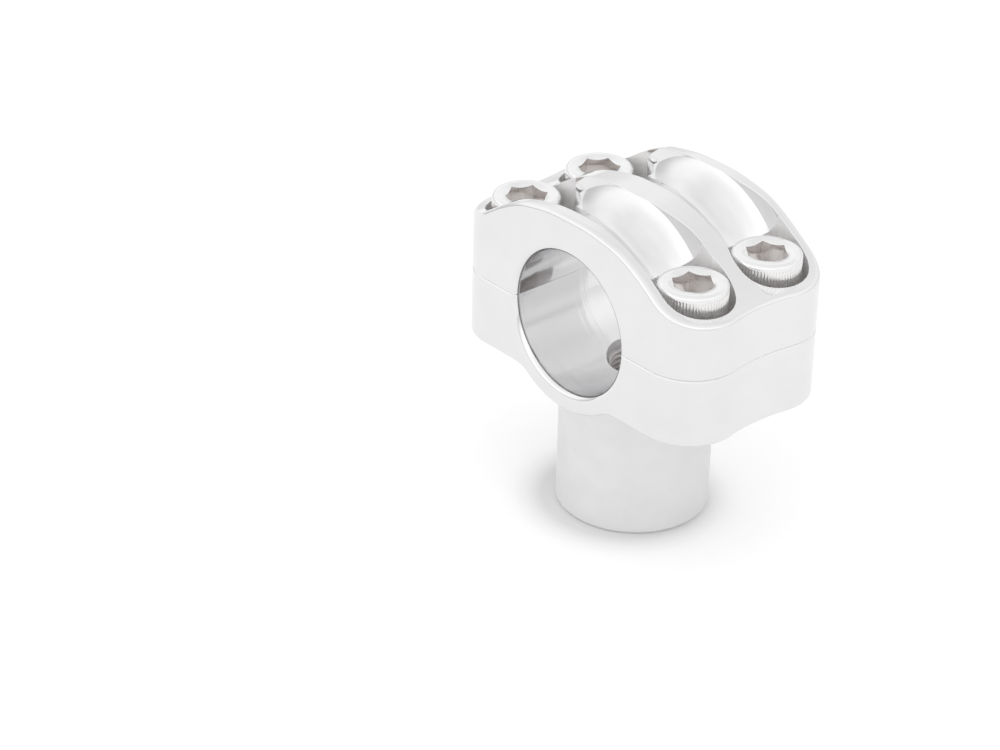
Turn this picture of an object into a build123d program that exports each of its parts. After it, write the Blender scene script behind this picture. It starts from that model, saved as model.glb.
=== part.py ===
"""Handlebar riser for a motorcycle, made of a saddle on a stem, a clamp cap and four cap screws.

Sizes are in millimetres. The origin is the centre of the stem's foot.
+X runs along the handlebar, +Y across it and +Z up through the stem.
"""
from build123d import *
import math
import os

# Handlebar and the height of its centre line
BAR_DIAMETER = 25.4
BAR_HEIGHT = 39.7
BAR_EDGE_RADIUS = 1.2

# Block that holds the bar: saddle below, cap above, split at the bar's centre line
SCREW_PITCH_ALONG_BAR = 16.8
SCREW_PITCH_ACROSS_BAR = 40.2
BOSS_RADIUS = 8.9
WAIST_DEPTH = 0.8
RING_WALL = 3.4
SPLIT_EDGE = 0.25

# Saddle: flat under the screws, with a belly that follows the bar
SADDLE_THICKNESS = 12.3
BELLY_FILLET = 6.0
SADDLE_EDGE = 0.5

# Cap: a crowned arch with two scooped channels between three rails
CAP_CROWN = 19.5
CAP_LAND = 9.9
CAP_EDGE_RADIUS = 1.0
OUTER_RAIL = 2.0
MIDDLE_RAIL = 3.8
WALL_FOOT_RISE = 0.1
WALL_HEIGHT = 2.0
WALL_LEAN = 0.7
HEAD_RELIEF = 2.3
HEAD_RELIEF_FLOOR = 8.2

# Cap screws with a hexagon socket
SCREW_DIAMETER = 7.94
SCREW_LENGTH = 15.9
HEAD_DIAMETER = 11.8
HEAD_HEIGHT = 7.94
HEAD_EDGE = 0.5
SOCKET_ACROSS_FLATS = 6.35
SOCKET_DEPTH = 4.6
SCREW_TIP_CHAMFER = 0.9
SEAT_HEIGHT = 5.6
SEAT_RADIAL_CLEARANCE = 1.05
CAP_HOLE_CLEARANCE = 0.25
THREAD_CLEARANCE = 0.05

# Stem and the threaded hole that takes the mounting bolt
STEM_DIAMETER = 26.5
STEM_EDGE = 0.5
BOLT_DIAMETER = 10.0
BOLT_HOLE_EDGE = 0.45
THREAD_RELIEF_DEPTH = 0.6

# Sizes that follow from the ones above
BAR_RADIUS = BAR_DIAMETER / 2
HEAD_RADIUS = HEAD_DIAMETER / 2
SCREW_X = SCREW_PITCH_ALONG_BAR / 2
SCREW_Y = SCREW_PITCH_ACROSS_BAR / 2
BLOCK_HALF_X = SCREW_X + BOSS_RADIUS
BLOCK_HALF_Y = SCREW_Y + BOSS_RADIUS
RING_RADIUS = BAR_RADIUS + RING_WALL
POCKET_RADIUS = HEAD_RADIUS + SEAT_RADIAL_CLEARANCE
RELIEF_RADIUS = HEAD_RADIUS + HEAD_RELIEF
CHANNEL_INNER_X = MIDDLE_RAIL / 2
CHANNEL_OUTER_X = BLOCK_HALF_X - OUTER_RAIL
SEAT_Z = BAR_HEIGHT + SEAT_HEIGHT
ABOVE_ALL = CAP_CROWN + 20

SCREW_PLACES = {
    "front_near": (SCREW_X, SCREW_Y),
    "front_far": (-SCREW_X, SCREW_Y),
    "rear_near": (SCREW_X, -SCREW_Y),
    "rear_far": (-SCREW_X, -SCREW_Y),
}


def block_outline():
    """Plan of the block: a boss round each screw and a shallow waist on each long side."""
    waist_y = BLOCK_HALF_Y - WAIST_DEPTH
    reach = waist_y - SCREW_Y
    waist_radius = (SCREW_X**2 + reach**2 - BOSS_RADIUS**2) / (2 * (BOSS_RADIUS - reach))
    run = math.hypot(SCREW_X, reach + waist_radius)
    tangent_x = SCREW_X * (1 - BOSS_RADIUS / run)
    tangent_y = SCREW_Y + BOSS_RADIUS * (reach + waist_radius) / run
    lean = math.radians(45)
    corner_x = SCREW_X + BOSS_RADIUS * math.cos(lean)
    corner_y = SCREW_Y + BOSS_RADIUS * math.sin(lean)

    def side(sign):
        return [
            ThreePointArc((sign * BLOCK_HALF_X, sign * SCREW_Y), (sign * corner_x, sign * corner_y),
                          (sign * tangent_x, sign * tangent_y)),
            ThreePointArc((sign * tangent_x, sign * tangent_y), (0, sign * waist_y),
                          (-sign * tangent_x, sign * tangent_y)),
            ThreePointArc((-sign * tangent_x, sign * tangent_y), (-sign * corner_x, sign * corner_y),
                          (-sign * BLOCK_HALF_X, sign * SCREW_Y)),
            Line((-sign * BLOCK_HALF_X, sign * SCREW_Y), (-sign * BLOCK_HALF_X, -sign * SCREW_Y)),
        ]

    return make_face(side(1) + side(-1))


def bar_space():
    """Round bar space with rounded mouths, as one solid to be taken out of the block."""
    bore = Rot(0, 90, 0) * Cylinder(BAR_RADIUS, 4 * BLOCK_HALF_X)
    for sign in (1, -1):
        mouth = Plane.XZ * (
            Pos(sign * (BLOCK_HALF_X - BAR_EDGE_RADIUS / 2), BAR_RADIUS + BAR_EDGE_RADIUS / 2)
            * Rectangle(BAR_EDGE_RADIUS, BAR_EDGE_RADIUS)
            - Pos(sign * (BLOCK_HALF_X - BAR_EDGE_RADIUS), BAR_RADIUS + BAR_EDGE_RADIUS)
            * Circle(BAR_EDGE_RADIUS)
        )
        bore += revolve(mouth, Axis.X, 360)
    return Pos(0, 0, BAR_HEIGHT) * bore


def cap_side_profile():
    """Side view of the cap: a crowned top that falls away to a land at each end."""
    half = [
        (0.0, 1.0), (0.166, 0.985), (0.29, 0.925), (0.405, 0.84), (0.495, 0.72), (0.58, 0.57),
        (0.66, 0.405), (0.755, 0.215), (0.85, 0.085), (0.94, 0.02), (1.05, 0.0),
    ]
    rise = CAP_CROWN - CAP_LAND
    right = [(y * BLOCK_HALF_Y, CAP_LAND + z * rise) for y, z in half]
    points = [(-y, z) for y, z in reversed(right[1:])] + right
    top = Spline(*points)
    end_y = points[-1][0]
    return make_face([
        top,
        Line(points[-1], (end_y, 0)),
        Line((end_y, 0), (-end_y, 0)),
        Line((-end_y, 0), points[0]),
    ])


def channels():
    """Space above the seats: scooped grooves round the bar's axis, pockets and reliefs."""
    middle = (CHANNEL_OUTER_X + CHANNEL_INNER_X) / 2
    foot_radius = CAP_CROWN + WALL_FOOT_RISE
    head_radius = foot_radius + WALL_HEIGHT
    inner_foot = (CHANNEL_INNER_X + WALL_LEAN, foot_radius)
    outer_foot = (CHANNEL_OUTER_X - WALL_LEAN, foot_radius)
    scoop = make_face([
        ThreePointArc(inner_foot, (middle, RING_RADIUS), outer_foot),
        Polyline(outer_foot, (CHANNEL_OUTER_X, head_radius), (CHANNEL_OUTER_X, ABOVE_ALL),
                 (CHANNEL_INNER_X, ABOVE_ALL), (CHANNEL_INNER_X, head_radius), inner_foot),
    ])
    groove = revolve(Plane.XZ * scoop, Axis.X, 360)
    width = CHANNEL_OUTER_X - CHANNEL_INNER_X
    space = None
    for x_sign in (1, -1):
        slot = Box(width, 2 * SCREW_Y, ABOVE_ALL, align=(Align.CENTER, Align.CENTER, Align.MIN))
        slot = Pos(x_sign * middle, 0, HEAD_RELIEF_FLOOR) * slot
        half = Rot(0, 0, 0 if x_sign > 0 else 180) * groove & slot
        for y_sign in (1, -1):
            place = Pos(x_sign * SCREW_X, y_sign * SCREW_Y, 0)
            relief = place * Cylinder(RELIEF_RADIUS, 4 * ABOVE_ALL)
            half += relief & slot
            half += place * Pos(0, 0, SEAT_HEIGHT) * Cylinder(
                POCKET_RADIUS, ABOVE_ALL, align=(Align.CENTER, Align.CENTER, Align.MIN))
        space = half if space is None else space + half
    return space


def screw_holes(radius, z_low, z_high):
    """Four round holes on the screws' places."""
    return [Pos(x, y, z_low) * Cylinder(radius, z_high - z_low,
                                        align=(Align.CENTER, Align.CENTER, Align.MIN))
            for x, y in SCREW_PLACES.values()]


def make_cap():
    """Clamp cap: the upper half of the block."""
    block = extrude(block_outline(), ABOVE_ALL)
    arch = extrude(Plane.YZ.offset(-2 * BLOCK_HALF_X) * cap_side_profile(), 4 * BLOCK_HALF_X)
    cap = block & arch
    top_edges = [e for e in cap.edges()
                 if e.bounding_box().min.Z > CAP_LAND - 0.5]
    cap = fillet(top_edges, CAP_EDGE_RADIUS)
    cap = chamfer(cap.edges().group_by(Axis.Z)[0], SPLIT_EDGE)
    cap = cap - channels()
    cap = Pos(0, 0, BAR_HEIGHT) * cap
    cap = cap - bar_space()
    cap = cap - screw_holes(SCREW_DIAMETER / 2 + CAP_HOLE_CLEARANCE, BAR_HEIGHT - 1, SEAT_Z + 1)
    return cap


def saddle_side_profile():
    """Side view of the saddle: flat ends and a belly round the bar, blended together."""
    flat_z = -SADDLE_THICKNESS
    centre_z = flat_z - BELLY_FILLET
    centre_y = math.sqrt((RING_RADIUS + BELLY_FILLET)**2 - centre_z**2)
    share = RING_RADIUS / (RING_RADIUS + BELLY_FILLET)
    touch_y, touch_z = centre_y * share, centre_z * share
    half_way = math.atan2(centre_y - touch_y, touch_z - centre_z) / 2
    blend_y = centre_y - BELLY_FILLET * math.sin(half_way)
    blend_z = centre_z + BELLY_FILLET * math.cos(half_way)
    end_y = BLOCK_HALF_Y + 2
    return make_face([
        Line((end_y, 0), (end_y, flat_z)),
        Line((end_y, flat_z), (centre_y, flat_z)),
        ThreePointArc((centre_y, flat_z), (blend_y, blend_z), (touch_y, touch_z)),
        ThreePointArc((touch_y, touch_z), (0, -RING_RADIUS), (-touch_y, touch_z)),
        ThreePointArc((-touch_y, touch_z), (-blend_y, blend_z), (-centre_y, flat_z)),
        Line((-centre_y, flat_z), (-end_y, flat_z)),
        Line((-end_y, flat_z), (-end_y, 0)),
        Line((-end_y, 0), (end_y, 0)),
    ])


def make_body():
    """Saddle and stem, machined from one piece."""
    block = Pos(0, 0, -2 * RING_RADIUS) * extrude(block_outline(), 2 * RING_RADIUS)
    side = extrude(Plane.YZ.offset(-2 * BLOCK_HALF_X) * saddle_side_profile(), 4 * BLOCK_HALF_X)
    saddle = block & side
    low_edges = [e for e in saddle.edges()
                 if e.bounding_box().max.Z < 0.5 - SADDLE_THICKNESS and e.length > 0.01
                 and not (abs(e.bounding_box().size.X - 2 * BLOCK_HALF_X) < 0.01
                          and e.bounding_box().size.Y < 0.01)]
    saddle = fillet(low_edges, SADDLE_EDGE)
    saddle = chamfer(saddle.edges().group_by(Axis.Z)[-1], SPLIT_EDGE)
    saddle = Pos(0, 0, BAR_HEIGHT) * saddle
    stem = Cylinder(STEM_DIAMETER / 2, BAR_HEIGHT - SADDLE_THICKNESS + 1,
                    align=(Align.CENTER, Align.CENTER, Align.MIN))
    stem = chamfer(stem.edges().group_by(Axis.Z)[0], STEM_EDGE)
    body = saddle + stem
    body = body - bar_space()
    body = body - Cylinder(BOLT_DIAMETER / 2, 2 * BAR_HEIGHT)
    mouth_radius = BOLT_DIAMETER / 2 + BOLT_HOLE_EDGE
    flare = Cone(mouth_radius, BOLT_DIAMETER / 2, BOLT_HOLE_EDGE,
                 align=(Align.CENTER, Align.CENTER, Align.MIN))
    body = body - flare
    relief_z = BAR_HEIGHT - BAR_RADIUS - THREAD_RELIEF_DEPTH
    relief = Cylinder(mouth_radius, BAR_HEIGHT, align=(Align.CENTER, Align.CENTER, Align.MIN))
    body = body - Pos(0, 0, relief_z) * (relief + Rot(180, 0, 0) * flare)
    body = body - screw_holes(SCREW_DIAMETER / 2 + THREAD_CLEARANCE, BAR_HEIGHT - SADDLE_THICKNESS - 1,
                              BAR_HEIGHT + 1)
    return body


def make_screw(x, y):
    """Socket head cap screw, its head on the seat in the cap."""
    head = Cylinder(HEAD_RADIUS, HEAD_HEIGHT, align=(Align.CENTER, Align.CENTER, Align.MIN))
    head = chamfer(head.edges().group_by(Axis.Z)[-1], HEAD_EDGE)
    shank = Cylinder(SCREW_DIAMETER / 2, SCREW_LENGTH, align=(Align.CENTER, Align.CENTER, Align.MAX))
    shank = chamfer(shank.edges().group_by(Axis.Z)[0], SCREW_TIP_CHAMFER)
    key = extrude(RegularPolygon(SOCKET_ACROSS_FLATS / 2, 6, major_radius=False), SOCKET_DEPTH)
    screw = head + shank - Pos(0, 0, HEAD_HEIGHT - SOCKET_DEPTH) * key
    return Pos(x, y, SEAT_Z) * screw


def main():
    """Write one file for each piece."""
    os.makedirs("parts", exist_ok=True)
    pieces = {"riser_body": make_body(), "clamp_cap": make_cap()}
    for name, (x, y) in SCREW_PLACES.items():
        pieces["cap_screw_" + name] = make_screw(x, y)
    for name, solid in pieces.items():
        export_step(solid, os.path.join("parts", name + ".step"))


if __name__ == "__main__":
    main()
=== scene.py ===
"""Looks of a motorcycle bar riser: a polished saddle on a stem, a scooped clamp cap and four cap screws.

Every size is in metres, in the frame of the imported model: +X along the handlebar, +Y across it,
+Z up, with the origin at the centre of the stem's foot.
"""

import logging
import math
from dataclasses import dataclass, field
from enum import Enum
from functools import reduce
from typing import Optional, Union

import bmesh
import bpy
from mathutils import Euler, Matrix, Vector


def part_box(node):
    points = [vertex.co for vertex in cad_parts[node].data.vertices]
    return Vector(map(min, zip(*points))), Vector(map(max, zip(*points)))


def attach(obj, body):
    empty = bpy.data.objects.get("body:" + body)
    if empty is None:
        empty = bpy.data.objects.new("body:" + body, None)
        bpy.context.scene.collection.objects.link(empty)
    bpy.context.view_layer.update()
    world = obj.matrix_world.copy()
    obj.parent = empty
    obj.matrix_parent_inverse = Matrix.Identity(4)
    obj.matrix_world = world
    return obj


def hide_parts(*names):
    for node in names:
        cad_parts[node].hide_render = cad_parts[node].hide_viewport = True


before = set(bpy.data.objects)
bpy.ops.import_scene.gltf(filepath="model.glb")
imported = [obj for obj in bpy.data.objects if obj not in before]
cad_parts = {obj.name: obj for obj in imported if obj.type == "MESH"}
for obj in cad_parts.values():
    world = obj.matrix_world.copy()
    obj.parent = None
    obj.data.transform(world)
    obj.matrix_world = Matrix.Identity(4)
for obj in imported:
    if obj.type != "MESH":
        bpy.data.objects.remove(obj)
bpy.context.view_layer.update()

MM = 0.001
THREAD_ROOT_FLAT = 0.12
CLOUD_COLOUR_RANGE = (0.35, 0.7)
CLOUD_GLOSS_RANGE = (0.3, 0.75)
WHITE = (1.0, 1.0, 1.0, 1.0)

Value = Union[bpy.types.NodeSocket, float]
Colour = tuple[float, float, float]
Radii = Union[float, list[float]]

log = logging.getLogger("bar_riser")


class Slot(Enum):
    """Names of the record's material slots; each casting carries one."""

    BODY = "polished_body"
    CAP = "polished_cap"
    SCREW = "chrome_screw"


class ScrewPlace(Enum):
    """The four cap screws: name of the node and turn of the socket in degrees."""

    FRONT_NEAR = ("cap_screw_front_near", 57.9)
    FRONT_FAR = ("cap_screw_front_far", 56.6)
    REAR_NEAR = ("cap_screw_rear_near", 31.9)
    REAR_FAR = ("cap_screw_rear_far", 23.1)

    def __init__(self, node: str, turn: float) -> None:
        """Keeps the parts of the value under plain names.

        Args:
            node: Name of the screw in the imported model.
            turn: Angle of one corner of the socket from +X.
        """
        self.node = node
        self.turn = turn

    @property
    def top(self) -> Vector:
        """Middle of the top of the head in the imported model."""
        low, high = (Vector(corner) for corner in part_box(self.node))
        return Vector(((low.x + high.x) / 2, (low.y + high.y) / 2, high.z))


class ScrewFinish(Enum):
    """Places of a screw's finishes in its list of materials."""

    PLATE = 0
    KNURL = 1
    SOCKET = 2


class Recipe:
    """A short way to write down a node tree."""

    def __init__(self, tree: bpy.types.NodeTree) -> None:
        """Empties the tree.

        Args:
            tree: The material's or the world's node tree.
        """
        self.tree = tree
        tree.nodes.clear()

    def node(self, kind: str, **settings: object) -> bpy.types.Node:
        """Adds a node.

        Args:
            kind: Type name of the node, without its ShaderNode prefix.
            settings: Properties of the node.

        Returns:
            The new node.
        """
        made = self.tree.nodes.new("ShaderNode" + kind)
        for name, value in settings.items():
            setattr(made, name, value)
        return made

    def join(self, source: object, target: bpy.types.NodeSocket) -> None:
        """Links a socket to another, or writes a plain value on it.

        Args:
            source: An output socket, or a value for the target.
            target: The input socket.
        """
        if isinstance(source, bpy.types.NodeSocket):
            self.tree.links.new(source, target)
        else:
            target.default_value = source

    def calc(self, operation: str, *terms: Value) -> bpy.types.NodeSocket:
        """Adds a Math node.

        Args:
            operation: The node's operation.
            terms: Its inputs.

        Returns:
            The result's socket.
        """
        made = self.node("Math", operation=operation)
        for term, target in zip(terms, made.inputs):
            self.join(term, target)
        return made.outputs[0]

    def total(self, *terms: Value) -> Value:
        """Adds its terms up."""
        return reduce(lambda first, second: self.calc("ADD", first, second), terms)

    def product(self, *terms: Value) -> Value:
        """Multiplies its terms with each other."""
        return reduce(lambda first, second: self.calc("MULTIPLY", first, second), terms)

    def rest(self, share: Value) -> bpy.types.NodeSocket:
        """Returns what a share leaves of 1."""
        return self.calc("SUBTRACT", 1.0, share)

    def distance(self, *parts: Value) -> bpy.types.NodeSocket:
        """Returns the length of the vector that has these parts."""
        return self.calc("SQRT", self.total(*(self.calc("POWER", part, 2.0) for part in parts)))

    def spread(self, value: Value, ends: tuple[float, float], start: float, end: float,
               smooth: bool = False) -> bpy.types.NodeSocket:
        """Maps a value from one range to another, held at both ends.

        Args:
            value: The value to map.
            ends: Both ends of its own range.
            start: Result at the lower end.
            end: Result at the upper end.
            smooth: Whether the ends are eased.

        Returns:
            The result's socket.
        """
        made = self.node("MapRange", interpolation_type="SMOOTHSTEP" if smooth else "LINEAR")
        for term, target in zip((value, *ends, start, end), made.inputs):
            self.join(term, target)
        return made.outputs[0]

    def near(self, value: Value, target: float, reach: float) -> bpy.types.NodeSocket:
        """Tells where a value lies close to a number.

        Args:
            value: The value.
            target: The number.
            reach: Largest difference that counts as close.

        Returns:
            The socket of 1 where it is close and of 0 elsewhere.
        """
        away = self.calc("ABSOLUTE", self.calc("SUBTRACT", value, target))
        return self.spread(away, (reach, reach * 1.3), 1, 0)

    def place(self) -> bpy.types.NodeSocket:
        """Returns the point on the surface, in the frame of the model."""
        return self.node("TexCoord").outputs["Object"]

    def parts(self, vector: bpy.types.NodeSocket) -> list[bpy.types.NodeSocket]:
        """Splits a vector.

        Args:
            vector: The vector's socket.

        Returns:
            The sockets of its three parts.
        """
        made = self.node("SeparateXYZ")
        self.join(vector, made.inputs[0])
        return list(made.outputs)

    def grain(self, vector: bpy.types.NodeSocket, size: float, stretch: tuple[float, float, float] = (1, 1, 1),
              detail: float = 2.0) -> bpy.types.NodeSocket:
        """Adds noise.

        Args:
            vector: Where it is read.
            size: Size of its patches in metres.
            stretch: How many times longer the patches are along each axis.
            detail: Number of finer layers.

        Returns:
            The socket of a value about 0.5.
        """
        scaled = self.node("VectorMath", operation="MULTIPLY")
        self.join(vector, scaled.inputs[0])
        scaled.inputs[1].default_value = [1 / (size * s) for s in stretch]
        made = self.node("TexNoise", noise_dimensions="3D")
        self.join(scaled.outputs[0], made.inputs["Vector"])
        made.inputs["Scale"].default_value = 1.0
        made.inputs["Detail"].default_value = detail
        return made.outputs[0]

    def blend_colours(self, share: Value, first: object, second: object) -> bpy.types.NodeSocket:
        """Mixes two colours.

        Args:
            share: Share of the second colour.
            first: The first colour, as a socket or as its three parts.
            second: The second colour, in the same way.

        Returns:
            The mixed colour's socket.
        """
        made = self.node("Mix", data_type="RGBA")
        self.join(share, made.inputs[0])
        for colour, target in ((first, made.inputs[6]), (second, made.inputs[7])):
            self.join((*colour, 1.0) if isinstance(colour, tuple) else colour, target)
        return made.outputs[2]

    def relief(self, height: Value, depth: float = 1.0,
               normal: Optional[bpy.types.NodeSocket] = None) -> bpy.types.NodeSocket:
        """Adds bump.

        Args:
            height: The height.
            depth: Metres that a height of 1 stands up.
            normal: The normal that it starts from.

        Returns:
            The new normal's socket.
        """
        made = self.node("Bump")
        made.inputs["Strength"].default_value = 1.0
        made.inputs["Distance"].default_value = depth
        self.join(height, made.inputs["Height"])
        if normal is not None:
            self.join(normal, made.inputs["Normal"])
        return made.outputs[0]

    def soft_edges(self, radius: float, samples: int) -> bpy.types.NodeSocket:
        """Rounds the edges in the shading.

        Args:
            radius: Radius of the rounding.
            samples: Number of rays that look for an edge.

        Returns:
            The new normal's socket.
        """
        made = self.node("Bevel", samples=samples)
        made.inputs["Radius"].default_value = radius
        return made.outputs[0]

    def end(self, shader: bpy.types.NodeSocket, kind: str = "OutputMaterial") -> None:
        """Links a shader to the tree's output."""
        self.join(shader, self.node(kind).inputs["Surface"])

    def metal(self, colour: Value, roughness: Value, metallic: Value, normal: bpy.types.NodeSocket) -> None:
        """Ends the tree with a metal.

        Args:
            colour: Its colour.
            roughness: Its roughness.
            metallic: The share that mirrors as metal does; the rest scatters light.
            normal: Its normal.
        """
        surface = self.node("BsdfPrincipled")
        for name, value in (("Base Color", colour), ("Roughness", roughness), ("Metallic", metallic),
                            ("Normal", normal)):
            self.join(value, surface.inputs[name])
        self.end(surface.outputs[0])


def new_material(name: str) -> tuple[bpy.types.Material, Recipe]:
    """Makes an empty material.

    Args:
        name: Its name.

    Returns:
        The material and the recipe for its nodes.
    """
    made = bpy.data.materials.new(name)
    made.use_nodes = True
    return made, Recipe(made.node_tree)


@dataclass(frozen=True)
class Marks:
    """Fine noise that stands up from a surface."""

    size: float
    height: float
    stretch: tuple[float, float, float] = (1, 1, 1)
    detail: float = 2.0

    def lift(self, tree: Recipe, place: bpy.types.NodeSocket) -> bpy.types.NodeSocket:
        """Reads the marks.

        Args:
            tree: The material's recipe.
            place: Socket of the point on the surface.

        Returns:
            The socket of their height in metres.
        """
        return tree.calc("MULTIPLY", tree.grain(place, self.size, self.stretch, self.detail), self.height)


@dataclass(frozen=True)
class Clouds:
    """Slow change between two colours and two roughnesses over a surface."""

    clean: Colour
    cloudy: Colour
    roughness: tuple[float, float]

    def read(self, tree: Recipe, noise: bpy.types.NodeSocket) -> tuple[bpy.types.NodeSocket, bpy.types.NodeSocket]:
        """Reads the clouds.

        Args:
            tree: The material's recipe.
            noise: The noise that shapes them.

        Returns:
            The sockets of the colour and of the roughness.
        """
        share = tree.spread(noise, CLOUD_COLOUR_RANGE, 0, 1)
        return (tree.blend_colours(share, self.clean, self.cloudy),
                tree.spread(noise, CLOUD_GLOSS_RANGE, *self.roughness))


@dataclass
class Look:
    """What a finish has worked out so far: colour, roughness, share of scattered light and height of its marks."""

    colour: Value
    rough: Value
    bloom: Value
    height: Value


@dataclass(frozen=True)
class MilledPockets:
    """Unpolished metal in the bolt's hole and on the walls and floors round the screws."""

    colour: Colour = (0.94, 0.93, 0.925)
    roughness: float = 0.42
    bloom: float = 0.55
    screw_x: float = 8.4 * MM
    screw_y: float = 20.1 * MM
    pocket_radius: float = 6.95 * MM
    relief_radius: float = 8.2 * MM
    seat_level: float = 45.3 * MM
    relief_level: float = 47.9 * MM
    margin: float = 0.05 * MM
    floor_reach: float = 0.07 * MM
    upright_limit: float = 0.15
    hole_radius: float = 5.46 * MM
    hole_top: float = 39.7 * MM
    mouth_level: float = 26.5 * MM
    mouth_bloom: float = 0.98

    def find(self, tree: Recipe, x: Value, y: Value, z: Value) -> Value:
        """Finds the milled metal.

        Args:
            tree: The material's recipe.
            x: Socket of the place along the handlebar.
            y: Socket of the place across it.
            z: Socket of the height.

        Returns:
            The socket of a value of 1 in the pockets and in the hole.
        """
        found = tree.product(tree.calc("LESS_THAN", tree.distance(x, y), self.hole_radius),
                             tree.calc("LESS_THAN", z, self.hole_top))
        aside = tree.calc("SUBTRACT", tree.calc("ABSOLUTE", x), self.screw_x)
        ahead = tree.calc("SUBTRACT", tree.calc("ABSOLUTE", y), self.screw_y)
        radius = tree.distance(aside, ahead)
        up = tree.parts(tree.node("NewGeometry").outputs["True Normal"])[2]
        upright = tree.calc("LESS_THAN", tree.calc("ABSOLUTE", up), self.upright_limit)
        for level, reach in ((self.seat_level, self.pocket_radius), (self.relief_level, self.relief_radius)):
            inside = tree.product(tree.calc("LESS_THAN", radius, reach + self.margin),
                                  tree.calc("GREATER_THAN", z, level - self.margin))
            wall_or_floor = tree.calc("MAXIMUM", upright, tree.near(z, level, self.floor_reach))
            found = tree.calc("MAXIMUM", found, tree.product(inside, wall_or_floor))
        return found

    def apply(self, tree: Recipe, look: Look, gloss: float, place: tuple[Value, Value, Value]) -> None:
        """Lays the milled metal over a polished look.

        Args:
            tree: The material's recipe.
            look: The look, which is changed.
            gloss: Roughness of the polish.
            place: Sockets of the three parts of the point.
        """
        milled = self.find(tree, *place)
        height = place[2]
        mouth = tree.product(tree.calc("GREATER_THAN", height, self.mouth_level),
                             tree.calc("LESS_THAN", height, self.hole_top))
        look.colour = tree.blend_colours(milled, look.colour, self.colour)
        look.bloom = tree.product(milled, tree.spread(mouth, (0, 1), self.bloom, self.mouth_bloom))
        look.rough = tree.total(look.rough, tree.product(milled, self.roughness - gloss))


@dataclass(frozen=True)
class SatinStem:
    """Brushed and turned stem, up to the fillet under the saddle."""

    streaks: tuple[Colour, Colour] = ((0.785, 0.783, 0.786), (0.815, 0.813, 0.816))
    streak_range: tuple[float, float] = (0.35, 0.65)
    streak_size: float = 6 * MM
    streak_stretch: tuple[float, float, float] = (1, 1, 0.7)
    streak_detail: float = 3.0
    bloom: float = 0.35
    roughness: float = 0.3
    radius: float = 13.6 * MM
    radius_fade: float = 0.4 * MM
    top: float = 26.2 * MM
    top_fade: float = 1.5 * MM
    turning: Marks = Marks(0.22 * MM, 0.006 * MM, (60, 60, 1), 3.0)

    def apply(self, tree: Recipe, look: Look, point: bpy.types.NodeSocket,
              place: tuple[Value, Value, Value]) -> None:
        """Lays the satin over a look.

        Args:
            tree: The material's recipe.
            look: The look, which is changed.
            point: Socket of the point on the surface.
            place: Sockets of its three parts.
        """
        x, y, z = place
        below = tree.spread(z, (self.top, self.top + self.top_fade), 1, 0, smooth=True)
        within = tree.spread(tree.distance(x, y), (self.radius, self.radius + self.radius_fade), 1, 0)
        stem = tree.product(below, within)
        brushed = tree.grain(point, self.streak_size, self.streak_stretch, self.streak_detail)
        satin = tree.blend_colours(tree.spread(brushed, self.streak_range, 0, 1), *self.streaks)
        look.colour = tree.blend_colours(stem, look.colour, satin)
        look.bloom = tree.total(look.bloom, tree.product(stem, self.bloom))
        look.rough = tree.total(look.rough, tree.product(stem, self.roughness))
        look.height = tree.total(look.height, tree.product(stem, self.turning.lift(tree, point)))


@dataclass(frozen=True)
class MirrorAluminium:
    """Buffed aluminium: faint hand-made waves, hairline polishing marks and softened edges."""

    name: str
    clouds: Clouds = Clouds((0.83, 0.829, 0.833), (0.8, 0.797, 0.802), (0.035, 0.085))
    cloud_size: float = 11.2 * MM
    cloud_detail: float = 4.0
    hairlines: Marks = Marks(0.35 * MM, 0.0015 * MM, (1, 9, 9), 3.0)
    streaks: Marks = Marks(1.5 * MM, 0.035 * MM, (1, 16, 16))
    waves: Marks = Marks(7 * MM, 0.012 * MM, detail=1.0)
    edge_radius: float = 0.25 * MM
    edge_samples: int = 8
    bore_height: float = 39.7 * MM
    bore_radius: float = 12.9 * MM
    bore_fade: float = 0.1 * MM
    bore_roughness: float = 0.1
    pockets: MilledPockets = MilledPockets()
    stem: Optional[SatinStem] = None

    def material(self) -> bpy.types.Material:
        """Builds the material.

        Returns:
            The material, named after the finish.
        """
        made, tree = new_material(self.name)
        point = tree.place()
        x, y, z = tree.parts(point)
        gloss = self.clouds.roughness[0]
        colour, polish = self.clouds.read(tree, tree.grain(point, self.cloud_size, detail=self.cloud_detail))
        from_bar = tree.distance(y, tree.calc("SUBTRACT", z, self.bore_height))
        in_bore = tree.spread(from_bar, (self.bore_radius, self.bore_radius + self.bore_fade), 1, 0)
        look = Look(
            colour=colour,
            rough=tree.total(polish, tree.product(in_bore, self.bore_roughness - gloss)),
            bloom=0.0,
            height=tree.total(self.hairlines.lift(tree, point), self.streaks.lift(tree, point)),
        )
        self.pockets.apply(tree, look, gloss, (x, y, z))
        if self.stem:
            self.stem.apply(tree, look, point, (x, y, z))
        edges = tree.soft_edges(self.edge_radius, self.edge_samples)
        normal = tree.relief(tree.total(look.height, self.waves.lift(tree, point)), normal=edges)
        tree.metal(look.colour, look.rough, tree.rest(look.bloom), normal)
        return made


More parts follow.
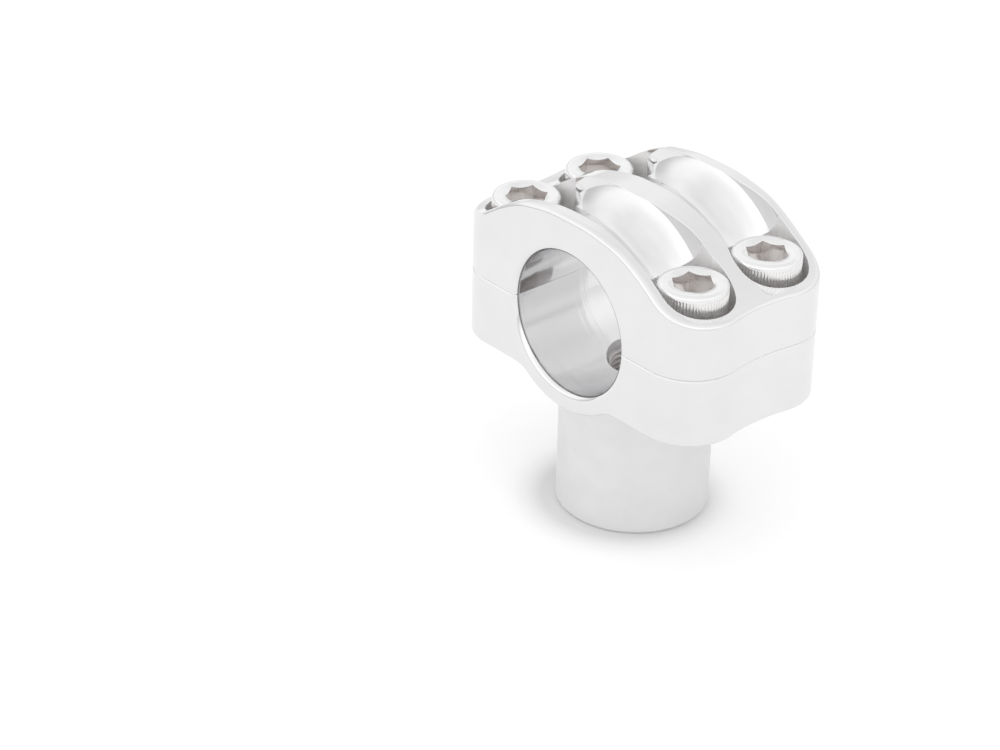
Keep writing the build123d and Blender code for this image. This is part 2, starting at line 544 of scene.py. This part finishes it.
@dataclass(frozen=True)
class ChromePlate:
    """Bright plate over steel, with a faint orange peel from the plating."""

    name: str
    clouds: Clouds = Clouds((0.87, 0.87, 0.875), (0.84, 0.84, 0.848), (0.06, 0.13))
    cloud_size: float = 2.2 * MM
    cloud_detail: float = 4.0
    peel: Marks = Marks(1.1 * MM, 0.006 * MM)
    edge_radius: float = 0.12 * MM
    edge_samples: int = 4
    bloom: float = 0.0

    def material(self) -> bpy.types.Material:
        """Builds the material.

        Returns:
            The material, named after the finish.
        """
        made, tree = new_material(self.name)
        point = tree.place()
        colour, polish = self.clouds.read(tree, tree.grain(point, self.cloud_size, detail=self.cloud_detail))
        edges = tree.soft_edges(self.edge_radius, self.edge_samples) if self.edge_radius else None
        tree.metal(colour, polish, 1.0 - self.bloom, tree.relief(self.peel.lift(tree, point), normal=edges))
        return made


@dataclass(frozen=True)
class CutThread:
    """Freshly tapped aluminium, duller than the buffed faces, with marks of the tap round the thread."""

    name: str
    clouds: Clouds = Clouds((0.82, 0.79, 0.78), (0.7, 0.67, 0.66), (0.45, 0.6))
    mark_size: float = 0.25 * MM
    mark_stretch: tuple[float, float, float] = (14, 14, 1)
    mark_detail: float = 3.0
    mark_depth: float = 0.008 * MM
    bloom: float = 0.6

    def material(self) -> bpy.types.Material:
        """Builds the material.

        Returns:
            The material, named after the finish.
        """
        made, tree = new_material(self.name)
        marks = tree.grain(tree.place(), self.mark_size, self.mark_stretch, self.mark_detail)
        colour, roughness = self.clouds.read(tree, marks)
        tree.metal(colour, roughness, 1.0 - self.bloom, tree.relief(marks, self.mark_depth))
        return made


class Lathe:
    """Grows a mesh ring by ring round an upright axis."""

    def __init__(self, mesh: bmesh.types.BMesh, centre: Vector, count: int) -> None:
        """Sets the axis.

        Args:
            mesh: The mesh that grows.
            centre: The point on the axis that heights are measured from.
            count: Number of points in each ring.
        """
        self.mesh = mesh
        self.centre = centre
        self.count = count
        self.last: list[bmesh.types.BMVert] = []

    def grow(self, radii: Radii, heights: Radii,
             finish: ScrewFinish = ScrewFinish.PLATE) -> list[bmesh.types.BMVert]:
        """Adds a ring, and a band of faces from the last ring to it.

        Args:
            radii: Radius of all the points, or of each.
            heights: Height of all the points, or of each.
            finish: Finish of the band.

        Returns:
            The points of the ring.
        """
        turn = 2 * math.pi / self.count
        ring = [
            self.mesh.verts.new(self.centre + Vector((r * math.cos(k * turn), r * math.sin(k * turn), z)))
            for k, (r, z) in enumerate(zip(self.each(radii), self.each(heights)))
        ]
        if self.last:
            self.reach(ring, finish)
        self.last = ring
        return ring

    def each(self, value: Radii) -> list[float]:
        """Returns one value for each point of a ring."""
        return value if isinstance(value, list) else [value] * self.count

    def reach(self, ring: list[bmesh.types.BMVert], finish: ScrewFinish = ScrewFinish.PLATE) -> None:
        """Joins the last ring to another by a band of faces.

        Args:
            ring: The other ring.
            finish: Finish of the band.
        """
        for k in range(self.count):
            n = (k + 1) % self.count
            band = self.mesh.faces.new((self.last[k], self.last[n], ring[n], ring[k]))
            band.material_index = finish.value

    def close(self, height: float, finish: ScrewFinish) -> None:
        """Closes the last ring with a cone.

        Args:
            height: Height of the cone's point.
            finish: Finish of the cone.
        """
        point = self.mesh.verts.new(self.centre + Vector((0, 0, height)))
        for k in range(self.count):
            self.mesh.faces.new((self.last[k], self.last[(k + 1) % self.count], point)).material_index = finish.value


def thread_profile(share: float, steepness: float) -> float:
    """Shape of a thread across one pitch.

    Args:
        share: Place in the pitch, from 0 to 1.
        steepness: Slope of the flanks.

    Returns:
        A value from 0 on the flat at both ends to 1 on the flat in the middle.
    """
    return max(0.0, min(1.0, steepness * (1 - abs(2 * share - 1)) - THREAD_ROOT_FLAT))


def put_in_scene(name: str, mesh: bmesh.types.BMesh, materials: list[bpy.types.Material],
                 sharp: float) -> bpy.types.Object:
    """Makes a piece of a finished mesh.

    Args:
        name: Name of the piece.
        mesh: Its mesh, which is freed.
        materials: Its materials, in the order of its faces' numbers.
        sharp: Angle in degrees over which an edge stays crisp.

    Returns:
        The new object, linked to the scene.
    """
    bmesh.ops.recalc_face_normals(mesh, faces=mesh.faces)
    limit = math.radians(sharp)
    for face in mesh.faces:
        face.smooth = True
    for edge in mesh.edges:
        edge.smooth = edge.calc_face_angle(math.pi) < limit
    data = bpy.data.meshes.new(name)
    mesh.to_mesh(data)
    mesh.free()
    for material in materials:
        data.materials.append(material)
    made = bpy.data.objects.new(name, data)
    bpy.context.scene.collection.objects.link(made)
    return made


@dataclass
class CapScrew:
    """Socket head cap screw: knurled head with a smooth crown, hexagon socket and a threaded shank."""

    place: ScrewPlace
    head_radius: float = 5.88 * MM
    head_height: float = 7.94 * MM
    rim_inset: float = 0.38 * MM
    rim_bevel: tuple[float, float, float] = (0.22 * MM, 0.104 * MM, 0.35)
    knurl_foot: float = 0.4 * MM
    crown_to_knurl: float = 0.8 * MM
    knurl_fade: float = 0.6 * MM
    fade_rows: tuple[tuple[float, float], ...] = ((1.0, 1.0), (0.66, 0.8), (0.33, 0.38), (0.0, 0.0))
    ridges: int = 68
    ridge_depth: float = 0.14 * MM
    points_per_ridge: int = 8
    shoulder_across: float = 0.85 * MM
    shoulder_down: float = 0.7 * MM
    shoulder_steps: int = 8
    across_flats: float = 6.35 * MM
    mouth_radius: float = 3.78 * MM
    mouth_slope: float = 34.0
    socket_depth: float = 4.6 * MM
    drill_share: float = 0.94
    drill_step: float = 0.02 * MM
    drill_depth: float = 0.9 * MM
    shank_radius: float = 3.95 * MM
    shank_length: float = 15.9 * MM
    neck_flare: tuple[tuple[float, float], ...] = ((0.35 * MM, 0.0), (0.1 * MM, -0.1 * MM), (0.0, -0.35 * MM))
    neck_length: float = 1.3 * MM
    thread_pitch: float = 1.411 * MM
    thread_depth: float = 0.62 * MM
    thread_steepness: float = 1.25
    thread_steps: int = 48
    rows_per_pitch: int = 8
    tip_bevel: float = 0.8 * MM
    crisp_angle: float = 40.0
    seat: Vector = field(init=False)

    def __post_init__(self) -> None:
        """Finds the middle of the seat under the head."""
        self.seat = self.place.top - Vector((0, 0, self.head_height))

    def hexagon(self, count: int) -> list[float]:
        """Radius of the socket in each direction round the screw.

        Args:
            count: Number of points.

        Returns:
            The radii.
        """
        corner = math.radians(self.place.turn)
        angles = ((2 * math.pi * k / count - corner) % (math.pi / 3) for k in range(count))
        return [self.across_flats / 2 / math.cos(angle - math.pi / 6) for angle in angles]

    def ridge(self, k: int) -> float:
        """Depth of the knurling at one point round the head, from 0 on a ridge to 1 in a valley."""
        return (1 - math.cos(2 * math.pi * k / self.points_per_ridge)) / 2

    def add_head(self, mesh: bmesh.types.BMesh) -> None:
        """Adds the head from under its rim to the bottom of the socket.

        Args:
            mesh: The screw's mesh.
        """
        count = self.ridges * self.points_per_ridge
        top = self.head_height
        knurl_top = top - self.crown_to_knurl
        head = Lathe(mesh, self.seat, count)
        head.grow(self.shank_radius + self.neck_flare[0][0], 0.0)
        head.grow(self.head_radius - self.rim_inset, 0.0)
        plain, knurl = ScrewFinish.PLATE, ScrewFinish.KNURL
        levels = [(*self.rim_bevel, plain), (self.knurl_foot, 0.0, 1.0, plain)]
        levels += [(knurl_top - down * self.knurl_fade, 0.0, share, knurl) for down, share in self.fade_rows]
        for z, inset, share, finish in levels:
            depth = self.ridge_depth * share
            head.grow([self.head_radius - inset - depth * self.ridge(k) for k in range(count)], z, finish)
        for step in range(1, self.shoulder_steps + 1):
            lean = math.radians(90 * step / self.shoulder_steps)
            head.grow(self.head_radius - self.shoulder_across * (1 - math.cos(lean)),
                      top - self.shoulder_down * (1 - math.sin(lean)))
        self.add_socket(head)

    def add_socket(self, head: Lathe) -> None:
        """Adds the socket, from its bevelled mouth to its drill point.

        Args:
            head: The lathe that made the head.
        """
        top = self.head_height
        floor = top - self.socket_depth
        walls = self.hexagon(head.count)
        fall = math.tan(math.radians(self.mouth_slope))
        head.grow(self.mouth_radius, top)
        head.grow(walls, [top - (self.mouth_radius - r) * fall for r in walls])
        head.grow(walls, floor, ScrewFinish.SOCKET)
        head.grow(self.across_flats / 2 * self.drill_share, floor - self.drill_step, ScrewFinish.SOCKET)
        head.close(floor - self.drill_depth, ScrewFinish.SOCKET)

    def add_shank(self, mesh: bmesh.types.BMesh) -> None:
        """Adds the neck, the thread and the tip.

        Args:
            mesh: The screw's mesh.
        """
        steps = self.thread_steps
        shank = Lathe(mesh, self.seat, steps)
        for flare, level in self.neck_flare:
            shank.grow(self.shank_radius + flare, level)
        depth = self.neck_length
        while depth < self.shank_length:
            fade = min(1.0, (depth - self.neck_length) / self.thread_pitch)
            limit = self.shank_radius - max(0.0, self.tip_bevel - (self.shank_length - depth))
            shares = ((depth / self.thread_pitch + k / steps) % 1.0 for k in range(steps))
            cuts = (self.thread_depth * thread_profile(share, self.thread_steepness) for share in shares)
            shank.grow([min(limit, self.shank_radius - cut * fade) for cut in cuts], -depth)
            depth += self.thread_pitch / self.rows_per_pitch
        mesh.faces.new(shank.grow(self.shank_radius - self.tip_bevel, -self.shank_length))

    def build(self, materials: list[bpy.types.Material]) -> bpy.types.Object:
        """Builds the screw in the place of its node.

        Args:
            materials: Its finishes, in the order of ScrewFinish.

        Returns:
            The finished screw.
        """
        mesh = bmesh.new()
        self.add_head(mesh)
        self.add_shank(mesh)
        made = put_in_scene(self.place.node + "_detail", mesh, materials, self.crisp_angle)
        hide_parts(self.place.node)
        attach(made, "root")
        return made


@dataclass
class StemThread:
    """Thread of the mounting bolt, cut inside the stem."""

    name: str = "stem_thread"
    major_radius: float = 4.98 * MM
    depth: float = 0.4 * MM
    pitch: float = 1.0 * MM
    steepness: float = 1.3
    low: float = 1.1 * MM
    high: float = 26.5 * MM
    shell: float = 0.01 * MM
    steps: int = 72
    rows_per_turn: int = 10
    crisp_angle: float = 50.0

    def radius(self, z: float, share: float) -> float:
        """Radius of the thread, cut back to a cone at both ends.

        Args:
            z: Height of the point.
            share: Its place in the pitch, from one root to the next.

        Returns:
            The radius.
        """
        rise = self.depth * thread_profile(share, self.steepness)
        return self.major_radius - min(rise, z - self.low, self.high - z)

    def build(self, material: bpy.types.Material) -> bpy.types.Object:
        """Builds the thread as a closed sleeve.

        Args:
            material: The tapped metal.

        Returns:
            The finished thread.
        """
        mesh = bmesh.new()
        sleeve = Lathe(mesh, Vector((0, 0, 0)), self.steps)
        count = int((self.high - self.low) / self.pitch * self.rows_per_turn)
        rows = []
        for j in range(count + 1):
            z = self.low + (self.high - self.low) * j / count
            shares = ((z / self.pitch - k / self.steps) % 1.0 for k in range(self.steps))
            rows.append(sleeve.grow([self.radius(z, share) for share in shares], z))
        for z in (self.high, self.low):
            sleeve.grow(self.major_radius + self.shell, z)
        sleeve.reach(rows[0])
        made = put_in_scene(self.name, mesh, [material], self.crisp_angle)
        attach(made, "root")
        return made


@dataclass
class Casting:
    """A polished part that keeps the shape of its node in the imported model."""

    node: str
    finish: MirrorAluminium
    slot: Slot

    def dress(self) -> bpy.types.Object:
        """Gives the node its finish.

        Returns:
            The dressed node.
        """
        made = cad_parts[self.node]
        material = self.finish.material()
        for slot in made.material_slots:
            slot.material = material
        return made


@dataclass
class PhotoCamera:
    """Camera at the photograph's place, angle and framing."""

    location: tuple[float, float, float] = (0.33285, 0.33418, 0.29493)
    turn: tuple[float, float, float] = (60.338, -0.326, 140.289)
    lens: float = 114.5
    sensor: float = 36.0
    shift: tuple[float, float] = (0.103, -0.0195)
    clip: tuple[float, float] = (0.01, 50.0)

    def build(self) -> bpy.types.Object:
        """Makes the camera and gives it to the scene.

        Returns:
            The camera.
        """
        data = bpy.data.cameras.new("photo_camera")
        data.sensor_width = self.sensor
        data.lens = self.lens
        data.shift_x, data.shift_y = self.shift
        data.clip_start, data.clip_end = self.clip
        made = bpy.data.objects.new("photo_camera", data)
        made.location = self.location
        made.rotation_euler = Euler([math.radians(a) for a in self.turn], "XYZ")
        bpy.context.scene.collection.objects.link(made)
        bpy.context.scene.camera = made
        return made


@dataclass
class SoftLamp:
    """Square lamp with a diffuser, aimed at the riser, which metal doesn't mirror."""

    name: str
    azimuth: float
    elevation: float
    distance: float
    size: float
    radiance: float

    def build(self, target: Vector) -> bpy.types.Object:
        """Makes the lamp.

        Args:
            target: The point that it faces.

        Returns:
            The lamp.
        """
        around, up = math.radians(self.azimuth), math.radians(self.elevation)
        toward = Vector((math.cos(around) * math.cos(up), math.sin(around) * math.cos(up), math.sin(up)))
        data = bpy.data.lights.new(self.name, "AREA")
        data.shape = "SQUARE"
        data.size = self.size
        data.energy = self.radiance * math.pi * self.size ** 2
        made = bpy.data.objects.new(self.name, data)
        made.location = target + toward * self.distance
        made.rotation_mode = "QUATERNION"
        made.rotation_quaternion = toward.to_track_quat("Z", "Y")
        made.visible_glossy = False
        bpy.context.scene.collection.objects.link(made)
        return made


@dataclass
class Room:
    """The light from all round: white for the eye, pale and softly graded for the metal."""

    pale: float = 1.13
    overhead: float = 1.0
    overhead_rise: tuple[float, float] = (0.5, 0.88)
    window_side: float = 0.16
    window_toward: tuple[float, float] = (0.9, 0.3)
    skirting: float = 0.7
    skirting_rise: tuple[float, float] = (0.03, 0.38)
    skirting_side: tuple[float, float] = (-0.35, 0.1)
    skirting_away: float = 0.35
    patchiness: float = 0.16
    patch_size: float = 0.5

    def level(self, tree: Recipe) -> Value:
        """Works out how bright the room is in each direction.

        Args:
            tree: The world's recipe.

        Returns:
            The brightness.
        """
        direction = tree.node("TexCoord").outputs["Generated"]
        x, y, z = tree.parts(direction)
        high = tree.product(tree.spread(z, self.overhead_rise, 0, 1, smooth=True), self.overhead - self.pale)
        across, along = self.window_toward
        side = tree.product(tree.total(tree.product(x, across), tree.product(y, along)), self.window_side)
        low = tree.product(tree.spread(z, self.skirting_rise, 1, 0, smooth=True),
                           tree.spread(x, self.skirting_side, self.skirting_away, 1, smooth=True),
                           self.skirting - self.pale)
        noise = tree.grain(direction, self.patch_size, detail=1.0)
        patches = tree.product(tree.calc("SUBTRACT", noise, 0.5), self.patchiness)
        return tree.total(self.pale, patches, high, side, low)

    def build(self) -> None:
        """Makes the world and gives it to the scene."""
        world = bpy.data.worlds.new("studio_room")
        world.use_nodes = True
        tree = Recipe(world.node_tree)
        seen = tree.node("LightPath").outputs["Is Camera Ray"]
        strength = tree.total(tree.product(self.level(tree), tree.rest(seen)), seen)
        light = tree.node("Background")
        light.inputs["Color"].default_value = WHITE
        tree.join(strength, light.inputs["Strength"])
        tree.end(light.outputs[0], "OutputWorld")
        bpy.context.scene.world = world


@dataclass
class Table:
    """Round white table top, which keeps the riser's soft shadow and has a painted shadow round the stem's foot."""

    radius: float = 5.0
    segments: int = 96
    drop: float = 0.02 * MM
    crisp_angle: float = 30.0
    colour: Colour = (0.78, 0.78, 0.78)
    fleck_dark: float = 0.01
    fleck_size: float = 4 * MM
    lift: float = 0.26
    mirrored: float = 0.7
    # Painted shadow round the foot: the share of it that the metal mirrors, its centre and the distances over which
    # it fades.
    painted_shadow_mirrored: float = 0.4
    painted_shadow_centre: tuple[float, float] = (1.5 * MM, -1 * MM)
    painted_shadow_reach: tuple[float, float] = (13.9 * MM, 22 * MM)

    def material(self) -> bpy.types.Material:
        """Makes the table's white, lifted to the backdrop's except close round the foot, where a painted shadow
        fades the lift out.

        Returns:
            The material.
        """
        made, tree = new_material("white_table")
        path = tree.node("LightPath").outputs
        seen = tree.calc("MAXIMUM", path["Is Camera Ray"], path["Is Transmission Ray"])
        point = tree.place()
        matt = tree.node("BsdfDiffuse")
        dark = tuple(c - self.fleck_dark for c in self.colour)
        tree.join(tree.blend_colours(tree.grain(point, self.fleck_size), self.colour, dark), matt.inputs["Color"])
        away = tree.distance(*(tree.calc("SUBTRACT", part, middle)
                               for part, middle in zip(tree.parts(point), self.painted_shadow_centre)))
        # Painted shadow: the white lift fades out towards a point near the foot, for the eye and, weaker, in the
        # metal.
        painted_shadow = tree.calc("POWER", tree.spread(away, self.painted_shadow_reach, 1, 0), 2.0)
        direct = tree.product(seen, tree.rest(painted_shadow))
        in_metal = tree.product(path["Is Glossy Ray"], self.mirrored,
                                tree.rest(tree.product(painted_shadow, self.painted_shadow_mirrored)))
        white = tree.node("Emission")
        white.inputs["Color"].default_value = WHITE
        tree.join(tree.product(tree.total(direct, in_metal), self.lift), white.inputs["Strength"])
        both = tree.node("AddShader")
        for shader, target in zip((matt, white), both.inputs):
            tree.join(shader.outputs[0], target)
        tree.end(both.outputs[0])
        return made

    def build(self) -> bpy.types.Object:
        """Lays the table top under the stem's foot.

        Returns:
            The table top.
        """
        mesh = bmesh.new()
        bmesh.ops.create_circle(mesh, cap_ends=True, radius=self.radius, segments=self.segments)
        made = put_in_scene("table_top", mesh, [self.material()], self.crisp_angle)
        made.location.z = -self.drop
        return made


@dataclass
class Studio:
    """White table in a pale room, with soft lamps."""

    room: Room = field(default_factory=Room)
    table: Table = field(default_factory=Table)
    lamps: list[SoftLamp] = field(default_factory=lambda: [SoftLamp("key_lamp", 60.0, 72.0, 0.9, 0.7, 0.35)])
    aim: tuple[float, float, float] = (0.0, 0.0, 35 * MM)
    glossy_bounces: int = 14
    max_bounces: int = 16

    def build(self) -> None:
        """Makes the room, the table and the lamps, and sets plain colours."""
        self.room.build()
        self.table.build()
        for lamp in self.lamps:
            lamp.build(Vector(self.aim))
        scene = bpy.context.scene
        scene.cycles.max_bounces = self.max_bounces
        scene.cycles.glossy_bounces = self.glossy_bounces
        scene.view_settings.view_transform = "Standard"


def main() -> None:
    """Builds the pieces in order and reports each of them."""
    logging.basicConfig(level=logging.INFO, format="%(name)s: %(message)s")
    PhotoCamera().build()
    Studio().build()
    for part in (
        Casting("riser_body", MirrorAluminium("buffed_body", stem=SatinStem()), Slot.BODY),
        Casting("clamp_cap", MirrorAluminium("buffed_cap"), Slot.CAP),
    ):
        log.info("dressed %s", part.dress().name)
    knurl = Clouds((0.9, 0.89, 0.885), (0.87, 0.86, 0.855), (0.15, 0.24))
    socket = Clouds((0.86, 0.845, 0.835), (0.76, 0.74, 0.73), (0.08, 0.18))
    finishes = {
        ScrewFinish.PLATE: ChromePlate("chrome_plate"),
        ScrewFinish.KNURL: ChromePlate("knurled_plate", knurl, edge_radius=0.0, bloom=0.08),
        ScrewFinish.SOCKET: ChromePlate("socket_plate", socket, bloom=0.06),
    }
    plates = [finishes[finish].material() for finish in ScrewFinish]
    for place in ScrewPlace:
        log.info("built %s", CapScrew(place).build(plates).name)
    log.info("built %s", StemThread().build(CutThread("tapped_metal").material()).name)


if __name__ == "__main__":
    main()
